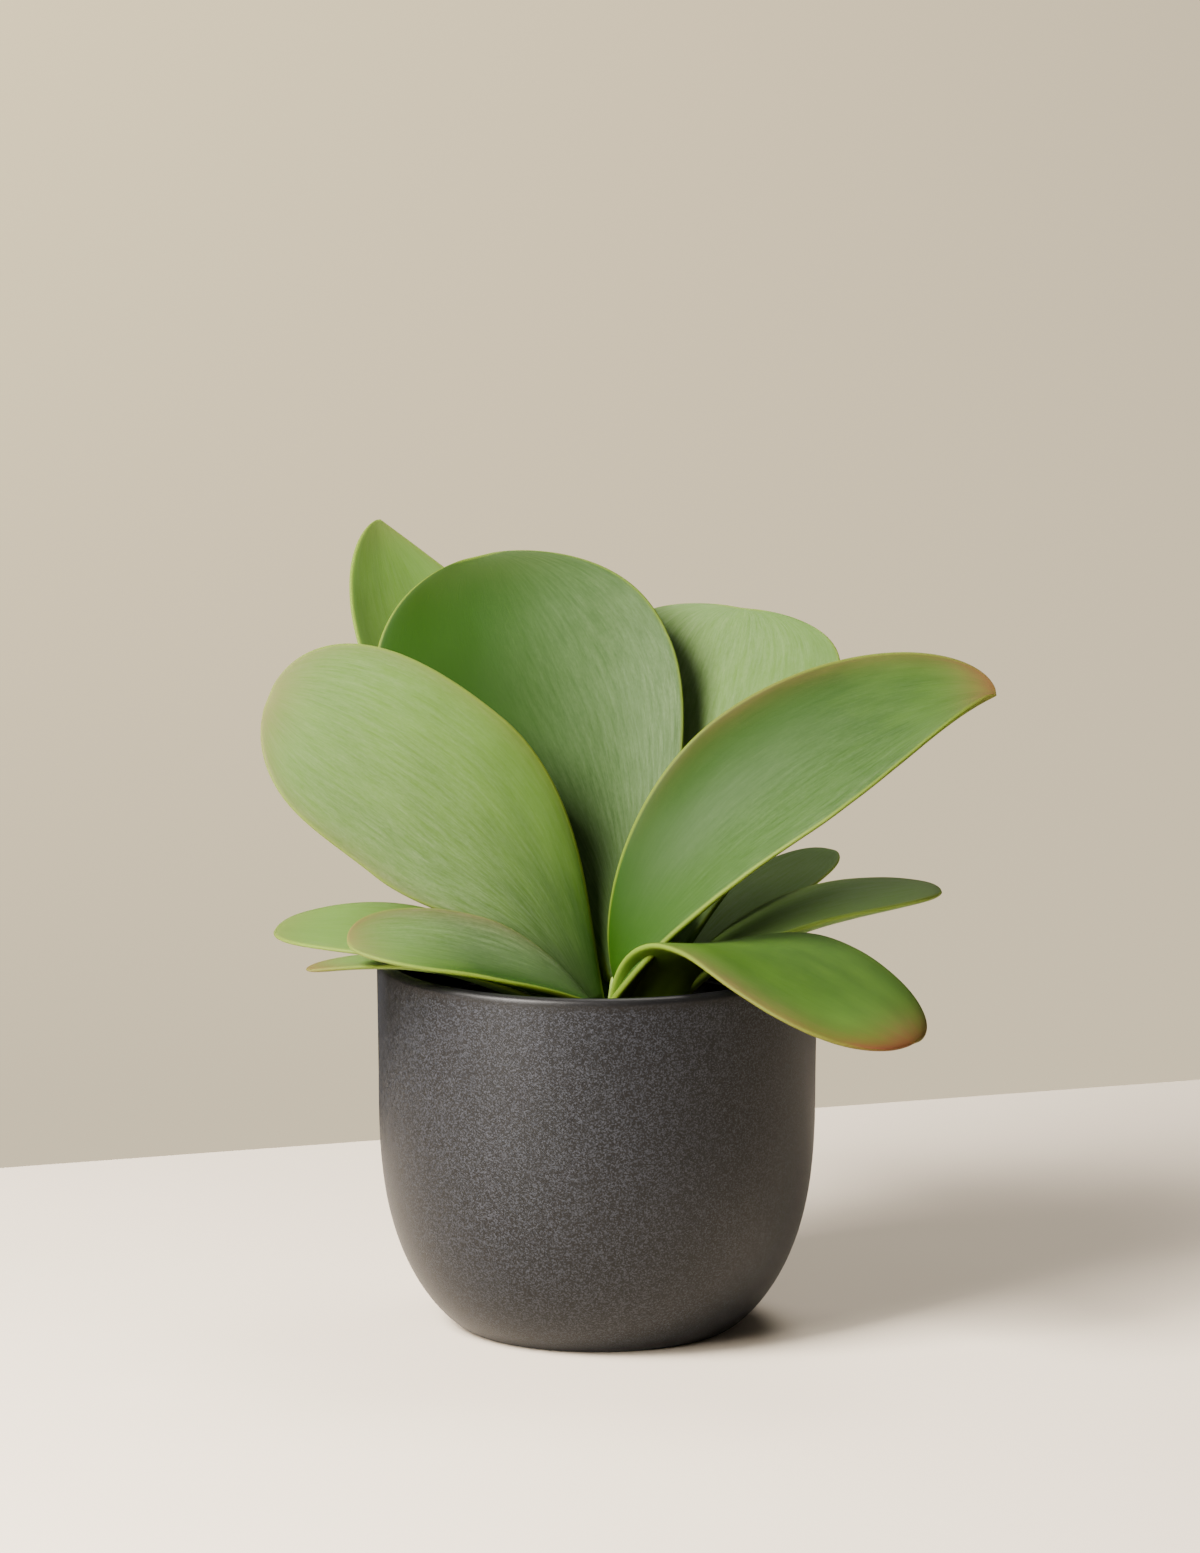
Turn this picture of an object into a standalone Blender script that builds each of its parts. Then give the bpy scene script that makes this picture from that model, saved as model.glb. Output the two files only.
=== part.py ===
"""Potted paddle plant (kalanchoe): a stoneware cover pot with a grower's pot, potting mix, stem and leaves.

Units are metres, +Z is up, and the origin is the centre of the flat face that the pot stands on.
The front of the plant looks along -Y.
"""
import math

import bmesh
import bpy
import numpy as np
from mathutils import Vector

MM = 0.001

# ---- driving dimensions, in millimetres ----
GAP = 0.3                      # room between two pieces that touch

POT_RADIUS = 63.5              # widest, at the shoulder
POT_HEIGHT = 108.5
POT_FOOT_RADIUS = 39.0         # flat face it stands on
POT_SHOULDER = 74.5            # height where the rounded lower half ends
POT_WALL = 4.2
POT_FLOOR = 6.0
LIP_TAPER = 0.4                # how much the wall leans out above the shoulder
LIP_ROUNDING = 1.9

GROWER_TOP = 92.0
GROWER_BOTTOM = 8.5
GROWER_TOP_RADIUS = 55.5
GROWER_BOTTOM_RADIUS = 39.0
GROWER_WALL = 1.5
GROWER_LIP = 1.8               # how far the lip stands out
GROWER_LIP_HEIGHT = 4.0
DRAIN_RADIUS = 4.0
DRAIN_CIRCLE = 25.0
DRAINS = 6
DRAIN_START = 0.31             # share of the spacing by which the first hole is turned

SOIL_TOP = 77.0                # at the wall; the mix rises a little to the stem
SOIL_RISE = 1.0

STEM_X, STEM_Y = 8.0, -3.0
STEM_ROOT = 52.0               # lowest point, buried in the mix
STEM_TOP = 104.0
STEM_RADIUS = 8.0              # where it leaves the mix
STEM_TOP_RADIUS = 4.0

LEAF_RINGS = 15                # cross sections from foot to tip
LEAF_SIDES = 16                # points round each cross section
POT_SIDES = 56


# ---- materials and small helpers ----
def material(name, colour, roughness):
    """Plain Principled material with a linear colour."""
    made = bpy.data.materials.new(name)
    made.use_nodes = True
    shader = made.node_tree.nodes["Principled BSDF"]
    shader.inputs["Base Color"].default_value = (*colour, 1.0)
    shader.inputs["Roughness"].default_value = roughness
    shader.inputs["Metallic"].default_value = 0.0
    return made


def mesh_object(name, points, faces, finish):
    """Closed mesh given in millimetres, shaded smooth, with its faces pointing out."""
    mesh = bpy.data.meshes.new(name)
    mesh.from_pydata([Vector(point) * MM for point in points], [], faces)
    made = bmesh.new()
    made.from_mesh(mesh)
    bmesh.ops.recalc_face_normals(made, faces=made.faces)
    made.to_mesh(mesh)
    made.free()
    mesh.shade_smooth()
    mesh.set_sharp_from_angle(angle=math.radians(40))
    mesh.materials.append(finish)
    placed = bpy.data.objects.new(name, mesh)
    bpy.context.scene.collection.objects.link(placed)
    return placed


def turned(name, profile, sides, finish, centre=(0.0, 0.0)):
    """Turned solid. The profile runs from one point on the axis to another as (radius, height)."""
    start = Vector((*centre, profile[0][1]))
    end = Vector((*centre, profile[-1][1]))
    points = [start, end]
    for radius, height in profile[1:-1]:
        for step in range(sides):
            turn = 2 * math.pi * step / sides
            points.append((centre[0] + radius * math.cos(turn), centre[1] + radius * math.sin(turn), height))
    rings = len(profile) - 2
    faces = []
    for step in range(sides):
        after = (step + 1) % sides
        faces.append((0, 2 + step, 2 + after))
        faces.append((1, 2 + (rings - 1) * sides + after, 2 + (rings - 1) * sides + step))
        for ring in range(rings - 1):
            low = 2 + ring * sides
            faces.append((low + step, low + sides + step, low + sides + after, low + after))
    return mesh_object(name, points, faces, finish)


def arc(centre_radius, centre_height, size, start, end, steps):
    """Points of a round corner in the (radius, height) plane, angles in degrees."""
    points = []
    for step in range(steps + 1):
        turn = math.radians(start + (end - start) * step / steps)
        points.append((centre_radius + size * math.cos(turn), centre_height + size * math.sin(turn)))
    return points


# ---- stoneware cover pot ----
def bowl_radius(height, foot, wide, shoulder):
    """Radius of the rounded lower half: steep near the shoulder, flat near the foot."""
    lift = min(max(height / shoulder, 0.0), 1.0)
    swing = math.acos((1 - lift) ** 1.5)
    return foot + (wide - foot) * math.sin(swing) ** 1.54


def cover_pot():
    outside = [(0.0, 0.0), (POT_FOOT_RADIUS, 0.0)]
    for height in (0.4, 1.6, 4.0, 8.0, 14.0, 22.0, 33.0, 46.0, 60.0):
        outside.append((bowl_radius(height, POT_FOOT_RADIUS, POT_RADIUS, POT_SHOULDER), height))
    outside.append((POT_RADIUS, POT_SHOULDER))
    lip_radius = POT_RADIUS + LIP_TAPER
    lip = arc(lip_radius - LIP_ROUNDING, POT_HEIGHT - LIP_ROUNDING, LIP_ROUNDING, 0, 90, 4)
    inner_lip_radius = lip_radius - POT_WALL
    lip += arc(inner_lip_radius + LIP_ROUNDING, POT_HEIGHT - LIP_ROUNDING, LIP_ROUNDING, 90, 180, 4)
    inside = [(POT_RADIUS - POT_WALL, POT_SHOULDER)]
    floor_radius = POT_FOOT_RADIUS - POT_WALL
    for height in (58.0, 44.0, 31.0, 20.0, 12.0, 6.0, 2.0, 0.0):
        radius = bowl_radius(height, floor_radius, POT_RADIUS - POT_WALL, POT_SHOULDER - POT_FLOOR)
        inside.append((radius, POT_FLOOR + height))
    inside.append((0.0, POT_FLOOR))
    finish = material("charcoal_stoneware", (0.045, 0.044, 0.045), 0.55)
    turned("cover_pot", outside + lip + inside, POT_SIDES, finish)


# ---- grower's pot, with drain holes in its floor ----
def grower_radius(height):
    share = (height - GROWER_BOTTOM) / (GROWER_TOP - GROWER_BOTTOM)
    return GROWER_BOTTOM_RADIUS + (GROWER_TOP_RADIUS - GROWER_BOTTOM_RADIUS) * share


def grower_pot():
    lip_under = GROWER_TOP - GROWER_LIP_HEIGHT
    profile = [
        (0.0, GROWER_BOTTOM),
        (GROWER_BOTTOM_RADIUS - 1.0, GROWER_BOTTOM),
        (GROWER_BOTTOM_RADIUS, GROWER_BOTTOM + 1.0),
        (grower_radius(lip_under), lip_under),
        (GROWER_TOP_RADIUS + GROWER_LIP, lip_under),
        (GROWER_TOP_RADIUS + GROWER_LIP, GROWER_TOP - 0.5),
        (GROWER_TOP_RADIUS + GROWER_LIP - 0.5, GROWER_TOP),
        (GROWER_TOP_RADIUS - GROWER_WALL, GROWER_TOP),
        (GROWER_BOTTOM_RADIUS - GROWER_WALL, GROWER_BOTTOM + GROWER_WALL + 0.5),
        (GROWER_BOTTOM_RADIUS - GROWER_WALL - 0.5, GROWER_BOTTOM + GROWER_WALL),
        (0.0, GROWER_BOTTOM + GROWER_WALL),
    ]
    finish = material("black_polypropylene", (0.012, 0.012, 0.012), 0.5)
    pot = turned("grower_pot", profile, 48, finish)
    for hole in range(DRAINS):
        turn = 2 * math.pi * (hole + DRAIN_START) / DRAINS
        centre = (DRAIN_CIRCLE * math.cos(turn), DRAIN_CIRCLE * math.sin(turn))
        reach = [(0.0, GROWER_BOTTOM - 3), (DRAIN_RADIUS, GROWER_BOTTOM - 3)]
        reach += [(DRAIN_RADIUS, GROWER_BOTTOM + 4), (0.0, GROWER_BOTTOM + 4)]
        cutter = turned(f"drain_cutter_{hole}", reach, 12, finish, centre)
        cutter.hide_render = True
        cutter.display_type = "WIRE"
        cut = pot.modifiers.new(f"drain_{hole}", "BOOLEAN")
        cut.operation = "DIFFERENCE"
        cut.solver = "EXACT"
        cut.object = cutter


# ---- stem, buried in the mix at its lower end ----
def stem_profile(extra):
    """Stem outline from the root end up, made wider all round by extra."""
    buried = STEM_RADIUS * 0.75
    return [
        (0.0, STEM_ROOT - extra),
        (buried * 0.6, STEM_ROOT - extra),
        (buried + extra, STEM_ROOT + 4),
        (STEM_RADIUS + extra, SOIL_TOP + SOIL_RISE),
        ((STEM_RADIUS + STEM_TOP_RADIUS) / 2 + extra, (SOIL_TOP + SOIL_RISE + STEM_TOP) / 2),
        (STEM_TOP_RADIUS + extra, STEM_TOP - 1.0),
        (STEM_TOP_RADIUS * 0.7 + extra, STEM_TOP + extra),
        (0.0, STEM_TOP + extra),
    ]


def stem():
    finish = material("green_stem", (0.19, 0.26, 0.07), 0.5)
    turned("stem", stem_profile(0.0), 16, finish, (STEM_X, STEM_Y))


# ---- potting mix ----
def potting_mix():
    bottom = GROWER_BOTTOM + GROWER_WALL + GAP
    low_radius = GROWER_BOTTOM_RADIUS - GROWER_WALL - 0.5 - GAP
    wall = GROWER_WALL + GAP + 0.1
    profile = [
        (0.0, bottom),
        (low_radius - 0.5, bottom),
        (grower_radius(bottom + 2) - wall, bottom + 2),
        (grower_radius(SOIL_TOP) - wall, SOIL_TOP),
        (grower_radius(SOIL_TOP) * 0.6, SOIL_TOP + SOIL_RISE * 0.6),
        (14.0, SOIL_TOP + SOIL_RISE),
        (0.0, SOIL_TOP + SOIL_RISE),
    ]
    finish = material("peat_mix", (0.035, 0.022, 0.014), 0.95)
    mix = turned("potting_mix", profile, 48, finish)
    cutter = turned("root_cutter", stem_profile(GAP), 16, finish, (STEM_X, STEM_Y))
    cutter.hide_render = True
    cutter.display_type = "WIRE"
    cut = mix.modifiers.new("root_hole", "BOOLEAN")
    cut.operation = "DIFFERENCE"
    cut.solver = "EXACT"
    cut.object = cutter


# ---- leaves ----
# Each leaf is a thick paddle on a narrow stalk. Its middle line is one curve from the stem to its tip.
#   turn, out, low    where the foot sits: compass angle round the stem, distance from its axis, height
#   leave             compass angle in which the middle line leaves the foot
#   tip               far end of the middle line
#   rise              how steeply the middle line leaves the foot and reaches the tip, in degrees
#   hold              share of the leaf over which each of those two directions lasts
#   width, stalk      widest part of the blade, and width at the foot
#   widest            share of the length where the blade is widest
#   blunt, point      fullness of the end, and how sharply it closes: 0.5 is round
#   roll              turn of the blade about its middle line, at foot, middle and tip
#   cup               bend of the blade across its width, at foot, middle and tip
#   sides             share of the half width on the left and on the right of the middle line
#   thick             thickness half way along
LEAVES = {
    "leaf_front_left": dict(
        turn=182, out=10.2, low=95, leave=172, tip=(-95, -2, 185), rise=(70, 22), width=72, stalk=12,
        widest=0.57, blunt=2.9, roll=(-50, -71, -64), cup=(22, 16, 10), sides=(0.86, 0.93), thick=4.4),
    "leaf_rear_centre": dict(
        turn=98, out=8, low=100, leave=102, tip=(-35, 59, 217), rise=(80, 68), width=90, stalk=9,
        widest=0.65, blunt=2.3, roll=(-10, -32, -36), cup=(35, 24, 12), thick=4.4),
    "leaf_rear_left": dict(
        turn=128, out=11, low=91, leave=122, tip=(-65, 99, 222), rise=(66, 62), width=62, stalk=11,
        widest=0.58, blunt=1.9, point=0.7, roll=(0, -5, -10), cup=(40, 35, 25)),
    "leaf_rear_right": dict(
        turn=48, out=10.5, low=94, leave=48, tip=(43, 62, 201), rise=(66, 48), width=77, stalk=10,
        widest=0.67, blunt=3.2, roll=(0, 3, 6), cup=(35, 22, 10)),
    "leaf_right": dict(
        turn=-92, out=10, low=97, leave=-60, tip=(115, -10, 187), rise=(72, 8), hold=(0.36, 0.35),
        width=60, stalk=12, widest=0.53, blunt=1.9, point=0.7, roll=(20, 42, 45), cup=(45, 40, 25),
        sides=(0.92, 0.95)),
    "leaf_right_small": dict(
        turn=38, out=11.5, low=87, leave=42, tip=(69, 47, 131), rise=(58, 20), width=31, stalk=8,
        widest=0.66, blunt=2.3, cup=(25, 15, 8), thick=3.2),
    "leaf_right_low": dict(
        turn=-5, out=11, low=89, leave=-10, tip=(100, 3, 127), rise=(70, 5), hold=(0.26, 0.4),
        width=32, stalk=9, widest=0.6, blunt=2.0, roll=(5, 8, 8), cup=(35, 30, 15), thick=3.6),
    "leaf_front_right": dict(
        turn=-58, out=12.5, low=90, leave=-52, tip=(90, -68, 97), rise=(84, -30), hold=(0.46, 0.4),
        width=54, stalk=12, widest=0.62, blunt=2.3, roll=(0, 4, 8), cup=(15, 5, -15), sides=(0.9, 1.04)),
    "leaf_front_low": dict(
        turn=250, out=12, low=89, leave=252, tip=(-71, -42, 120), rise=(44, 6), hold=(0.28, 0.4),
        width=43, stalk=12, widest=0.54, blunt=2.2, roll=(-10, -16, -22), cup=(28, 28, 20), sides=(0.86, 1.0),
        thick=3.4),
    "leaf_left_small": dict(
        turn=178, out=11, low=87, leave=178, tip=(-94, 17, 113), rise=(44, -4), width=42, stalk=9,
        widest=0.66, blunt=2.2, roll=(-4, -9, -9), cup=(25, 15, 8), thick=3.6),
    "leaf_left_tiny": dict(
        turn=212, out=11, low=82, leave=212, tip=(-83, -38, 112), rise=(50, -6), width=20, stalk=7,
        widest=0.6, blunt=2.0, cup=(25, 15, 8), thick=2.6),
    "leaf_bud": dict(
        turn=20, out=4, low=105, leave=20, tip=(17, 11, 153), rise=(80, 80), width=15, stalk=6,
        widest=0.5, blunt=2.0, cup=(50, 50, 40), thick=2.4),
    "leaf_rear_low": dict(
        turn=85, out=11, low=86, leave=85, tip=(19, 88, 122), rise=(50, 0), width=38, stalk=9,
        widest=0.62, blunt=2.2, cup=(30, 25, 10), thick=3.6),
    "leaf_rear_low_left": dict(
        turn=138, out=11.5, low=80, leave=138, tip=(-50, 78, 124), rise=(54, 6), width=42, stalk=9,
        widest=0.62, blunt=2.2, cup=(30, 25, 10), thick=3.6),
}
FOOT_THICKENING = 1.25         # a leaf is this much thicker at its foot than half way along
TIP_THINNING = 0.55            # and loses this share of the thickness by its tip
EDGE_FULLNESS = 0.7            # how square the leaf's edge is: 1 is a plain ellipse


def along(values, share):
    """Value at a share of the length, on a smooth curve through evenly spaced values."""
    first = 2 * values[0] - values[1]
    last = 2 * values[-1] - values[-2]
    padded = [first, *values, last]
    place = share * (len(values) - 1)
    step = min(int(place), len(values) - 2)
    t = place - step
    a, b, c, d = padded[step:step + 4]
    return 0.5 * (2 * b + (c - a) * t + (2 * a - 5 * b + 4 * c - d) * t ** 2 + (3 * b - a - 3 * c + d) * t ** 3)


def direction(compass, rise):
    """Unit vector from a compass angle and a rise, in degrees."""
    level = math.cos(math.radians(rise))
    turn = math.radians(compass)
    return np.array([level * math.cos(turn), level * math.sin(turn), math.sin(math.radians(rise))])


def middle_line(leaf, steps=200):
    """Points and directions along the leaf's middle line, with each point's share of its length."""
    foot = np.array([STEM_X, STEM_Y, leaf["low"]]) + leaf["out"] * direction(leaf["turn"], 0)
    tip = np.array(leaf["tip"], float)
    chord = tip - foot
    reach = np.linalg.norm(chord)
    heading = math.degrees(math.atan2(chord[1], chord[0]))
    hold = leaf.get("hold", (0.35, 0.35))
    second = foot + hold[0] * reach * direction(leaf["leave"], leaf["rise"][0])
    third = tip - hold[1] * reach * direction(heading, leaf["rise"][1])
    t = np.linspace(0, 1, steps)[:, None]
    points = (1 - t) ** 3 * foot + 3 * (1 - t) ** 2 * t * second + 3 * (1 - t) * t ** 2 * third + t ** 3 * tip
    slopes = (1 - t) ** 2 * (second - foot) + 2 * (1 - t) * t * (third - second) + t ** 2 * (tip - third)
    slopes /= np.linalg.norm(slopes, axis=1, keepdims=True)
    lengths = np.concatenate([[0], np.cumsum(np.linalg.norm(np.diff(points, axis=0), axis=1))])
    return points, slopes, lengths / lengths[-1]


def half_width(leaf, share):
    """Half width of the blade at a share of its length: swells from the stalk, then closes to the tip."""
    narrow = leaf["stalk"] / leaf["width"]
    if share < leaf["widest"]:
        grown = share / leaf["widest"]
        swell = 0.75 * (3 * grown ** 2 - 2 * grown ** 3) + 0.25 * grown * (2 - grown)
        return leaf["width"] / 2 * (narrow + (1 - narrow) * swell)
    past = min((share - leaf["widest"]) / (1 - leaf["widest"]), 1.0)
    return leaf["width"] / 2 * (1 - past ** leaf["blunt"]) ** leaf.get("point", 0.5)


def leaf_section(leaf, share, centre, slope):
    """Ring of points round the leaf at one share of its length."""
    across = np.cross((0, 0, 1), slope)
    across /= np.linalg.norm(across)
    upward = np.cross(slope, across)
    roll = math.radians(along(leaf.get("roll", (0, 0, 0)), share))
    side = across * math.cos(roll) + upward * math.sin(roll)
    face = upward * math.cos(roll) - across * math.sin(roll)
    cup = math.radians(along(leaf["cup"], share)) or 0.001
    half = half_width(leaf, share)
    thickness = leaf.get("thick", 4.0) * (FOOT_THICKENING - TIP_THINNING * share)
    ring = []
    for step in range(LEAF_SIDES):
        turn = 2 * math.pi * step / LEAF_SIDES
        place = math.cos(turn)
        height = thickness / 2 * math.copysign(abs(math.sin(turn)) ** EDGE_FULLNESS, math.sin(turn))
        reach = half * leaf.get("sides", (1, 1))[0 if place >= 0 else 1] / cup
        bend = cup * place
        point = centre + side * reach * math.sin(bend) + face * reach * (1 - math.cos(bend))
        normal = face * math.cos(bend) - side * math.sin(bend)
        ring.append(point + normal * height)
    return ring


def leaf_stations(leaf):
    """Shares of the length where the leaf is cut, closer together towards the rounded tip."""
    along_stalk = LEAF_RINGS // 2
    closing = LEAF_RINGS - along_stalk
    shares = [leaf["widest"] * step / along_stalk for step in range(along_stalk)]
    for step in range(closing):
        past = math.sin(math.pi / 2 * step / (closing - 1))
        shares.append(leaf["widest"] + (0.996 - leaf["widest"]) * past)
    return shares


def leaf_solid(name, leaf, finish):
    line, slopes, shares = middle_line(leaf)
    points = []
    for share in leaf_stations(leaf):
        centre = np.array([np.interp(share, shares, line[:, axis]) for axis in range(3)])
        slope = np.array([np.interp(share, shares, slopes[:, axis]) for axis in range(3)])
        points += leaf_section(leaf, share, centre, slope / np.linalg.norm(slope))
    faces = []
    for ring in range(LEAF_RINGS - 1):
        for step in range(LEAF_SIDES):
            low = ring * LEAF_SIDES
            after = (step + 1) % LEAF_SIDES
            faces.append((low + step, low + after, low + LEAF_SIDES + after, low + LEAF_SIDES + step))
    foot_centre = len(points)
    points.append(np.mean(points[:LEAF_SIDES], axis=0))
    points.append(np.mean(points[-LEAF_SIDES - 1:-1], axis=0))
    last = (LEAF_RINGS - 1) * LEAF_SIDES
    for step in range(LEAF_SIDES):
        after = (step + 1) % LEAF_SIDES
        faces.append((foot_centre, after, step))
        faces.append((foot_centre + 1, last + step, last + after))
    mesh_object(name, points, faces, finish)


def leaves():
    finish = material("succulent_leaf", (0.16, 0.30, 0.06), 0.5)
    for name, leaf in LEAVES.items():
        leaf_solid(name, leaf, finish)


for old in list(bpy.data.objects):
    bpy.data.objects.remove(old, do_unlink=True)

cover_pot()
grower_pot()
potting_mix()
stem()
leaves()
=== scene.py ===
import math
import random

import bmesh
import bpy
import numpy as np
from mathutils import Euler, Matrix, Vector, noise


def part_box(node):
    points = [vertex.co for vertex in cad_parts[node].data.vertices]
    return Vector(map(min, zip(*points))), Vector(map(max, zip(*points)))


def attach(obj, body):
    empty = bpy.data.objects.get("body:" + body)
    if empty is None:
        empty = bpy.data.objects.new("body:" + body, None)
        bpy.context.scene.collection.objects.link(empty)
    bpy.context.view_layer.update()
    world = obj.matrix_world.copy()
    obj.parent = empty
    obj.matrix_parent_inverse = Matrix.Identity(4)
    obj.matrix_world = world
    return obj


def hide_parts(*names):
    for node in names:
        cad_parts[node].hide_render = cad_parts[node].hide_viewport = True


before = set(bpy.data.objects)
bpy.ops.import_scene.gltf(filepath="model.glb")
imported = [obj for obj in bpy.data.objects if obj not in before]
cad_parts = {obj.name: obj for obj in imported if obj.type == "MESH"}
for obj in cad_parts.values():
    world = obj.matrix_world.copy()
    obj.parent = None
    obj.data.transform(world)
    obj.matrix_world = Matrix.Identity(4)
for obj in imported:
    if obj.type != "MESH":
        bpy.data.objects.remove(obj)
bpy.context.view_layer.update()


# ---- cover pot ----
# A thrown stoneware cover pot, charcoal all the way through, with a rolled lip and a flat foot. It is
# sprayed inside and out with a dry matt glaze whose iron and ash grains stay visible as a fine speckle.
MM = 0.001                     # one millimetre in metres; the plant's and pot's sizes are in millimetres


def linear(hex_colour):
    """Linear colour with alpha from an sRGB hex value."""
    channels = [int(hex_colour[place:place + 2], 16) / 255 for place in (1, 3, 5)]
    return (*[c / 12.92 if c <= 0.04045 else ((c + 0.055) / 1.055) ** 2.4 for c in channels], 1.0)


def add(tree, kind, inputs=None, **settings):
    """New node with its settings. An input is another node's output socket or a plain value."""
    made = tree.nodes.new(kind)
    for name, value in settings.items():
        setattr(made, name, value)
    for socket, value in (inputs or {}).items():
        if isinstance(value, bpy.types.NodeSocket):
            tree.links.new(value, made.inputs[socket])
        else:
            made.inputs[socket].default_value = value
    return made


def new_material(name):
    """Material with a Principled shader, as (material, node tree, shader)."""
    made = bpy.data.materials.new(name)
    made.use_nodes = True
    return made, made.node_tree, made.node_tree.nodes["Principled BSDF"]


def show(piece, slot, *nodes):
    """Puts a finished piece on the plant's one body, in place of its CAD nodes."""
    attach(piece, "root")
    if nodes:
        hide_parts(*nodes)


def mesh_piece(name, points, faces, finish):
    """Smooth closed mesh given in millimetres, with its faces pointing out."""
    mesh = bpy.data.meshes.new(name)
    mesh.from_pydata([Vector(point) * MM for point in points], [], faces)
    made = bmesh.new()
    made.from_mesh(mesh)
    bmesh.ops.recalc_face_normals(made, faces=made.faces)
    made.to_mesh(mesh)
    made.free()
    mesh.shade_smooth()
    mesh.materials.append(finish)
    piece = bpy.data.objects.new(name, mesh)
    bpy.context.scene.collection.objects.link(piece)
    return piece


def ring_faces(first, rings, sides):
    """Faces between rings of points that follow one another, counted from the point number first."""
    faces = []
    for ring in range(rings - 1):
        low = first + ring * sides
        for step in range(sides):
            after = (step + 1) % sides
            faces.append((low + step, low + sides + step, low + sides + after, low + after))
    return faces


def cap_faces(middle, first, sides):
    """Fan of faces that closes one ring of points round a middle point."""
    return [(middle, first + step, first + (step + 1) % sides) for step in range(sides)]


def turned(name, profile, sides, finish, centre=(0.0, 0.0)):
    """Turned solid. The profile runs from one point on the axis to another as (radius, height)."""
    points = [(*centre, profile[0][1]), (*centre, profile[-1][1])]
    for radius, height in profile[1:-1]:
        for step in range(sides):
            turn = 2 * math.pi * step / sides
            points.append((centre[0] + radius * math.cos(turn), centre[1] + radius * math.sin(turn), height))
    rings = len(profile) - 2
    ends = cap_faces(0, 2, sides) + cap_faces(1, 2 + (rings - 1) * sides, sides)
    return mesh_piece(name, points, ring_faces(2, rings, sides) + ends, finish)


def arc(centre_radius, centre_height, size, start, end, steps):
    """Points of a round corner in the (radius, height) plane, angles in degrees."""
    turns = [math.radians(start + (end - start) * step / steps) for step in range(steps + 1)]
    return [(centre_radius + size * math.cos(t), centre_height + size * math.sin(t)) for t in turns]


def bowl_radius(height, foot, wide, shoulder):
    """Radius of the rounded lower half: steep near the shoulder, flat near the foot."""
    lift = min(max(height / shoulder, 0.0), 1.0)
    swing = math.acos((1 - lift) ** BOWL_DEPTH)
    return foot + (wide - foot) * math.sin(swing) ** BOWL_FULLNESS


def foot_crowded(steps, reach):
    """Heights up to reach, closer together low down, where the bowl curves most."""
    return [reach * (step / steps) ** 1.9 for step in range(steps + 1)]


pot_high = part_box("cover_pot")[1]
POT_HEIGHT = pot_high.z / MM
LIP_RADIUS = pot_high.x / MM
POT_RADIUS = LIP_RADIUS - 0.4
POT_FOOT_RADIUS = 39.0
POT_SHOULDER = 74.5
POT_WALL = 4.2
POT_FLOOR = 6.0
LIP_ROUNDING = 1.9
BOWL_DEPTH = 1.5               # a higher value keeps the bowl wide lower down
BOWL_FULLNESS = 1.54           # a higher value flattens the curve into the foot
POT_SIDES = 192

# Dry matt glaze on dark stoneware: rough enough for one broad soft highlight, darker where it thins out over
# the lip. Its pale ash and dark iron grains are drawn 0.4 mm across, a little coarser than real so they show.
GLAZE_DARK = "#060709"
GLAZE_MID = "#0a0c10"
GLAZE_ASH = "#2c2f36"
GLAZE_THIN = "#0c0c0d"
GRAIN = 0.4 * MM
charcoal_glaze, tree, shader = new_material("matt_charcoal_stoneware_glaze")
place = add(tree, "ShaderNodeTexCoord").outputs["Object"]
grains = add(tree, "ShaderNodeTexNoise", {
    "Vector": place, "Scale": 1 / (1.1 * GRAIN), "Detail": 3.0, "Roughness": 0.65})
cells = add(tree, "ShaderNodeTexVoronoi", {"Vector": place, "Scale": 1 / (0.9 * GRAIN), "Randomness": 1.0})
cell_value = add(tree, "ShaderNodeSeparateColor", {"Color": cells.outputs["Color"]})
drift = add(tree, "ShaderNodeTexNoise", {"Vector": place, "Scale": 1 / (22 * MM), "Detail": 3.0})
mottle = add(tree, "ShaderNodeMath", {0: grains.outputs["Fac"], 1: cell_value.outputs[0]}, operation="ADD")
mottle = add(tree, "ShaderNodeMath", {0: mottle.outputs[0], 1: 0.62}, operation="MULTIPLY")
speckle = add(tree, "ShaderNodeValToRGB", {"Fac": mottle.outputs[0]})
speckle.color_ramp.elements[0].position = 0.22
speckle.color_ramp.elements[0].color = linear(GLAZE_DARK)
speckle.color_ramp.elements[1].position = 0.93
speckle.color_ramp.elements[1].color = linear(GLAZE_ASH)
between = speckle.color_ramp.elements.new(0.6)
between.color = linear(GLAZE_MID)
height = add(tree, "ShaderNodeSeparateXYZ", {"Vector": place})
at_lip = add(tree, "ShaderNodeMapRange", {
    "Value": height.outputs["Z"], "From Min": (POT_HEIGHT - 4.5) * MM, "From Max": (POT_HEIGHT - 1.2) * MM})
drifted = add(tree, "ShaderNodeMix", {
    0: drift.outputs["Fac"], 6: (0.86, 0.86, 0.86, 1), 7: (1.12, 1.11, 1.1, 1)}, data_type="RGBA")
glaze_colour = add(tree, "ShaderNodeMix", {0: 1.0, 6: speckle.outputs["Color"], 7: drifted.outputs[2]},
                   data_type="RGBA", blend_type="MULTIPLY")
glaze_colour = add(tree, "ShaderNodeMix", {
    0: at_lip.outputs[0], 6: glaze_colour.outputs[2], 7: linear(GLAZE_THIN)}, data_type="RGBA")
tree.links.new(glaze_colour.outputs[2], shader.inputs["Base Color"])
glaze_roughness = add(tree, "ShaderNodeMapRange", {
    "Value": mottle.outputs[0], "To Min": 0.38, "To Max": 0.48})
lip_roughness = add(tree, "ShaderNodeMix", {0: at_lip.outputs[0], 2: glaze_roughness.outputs[0], 3: 0.4})
tree.links.new(lip_roughness.outputs[0], shader.inputs["Roughness"])
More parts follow.
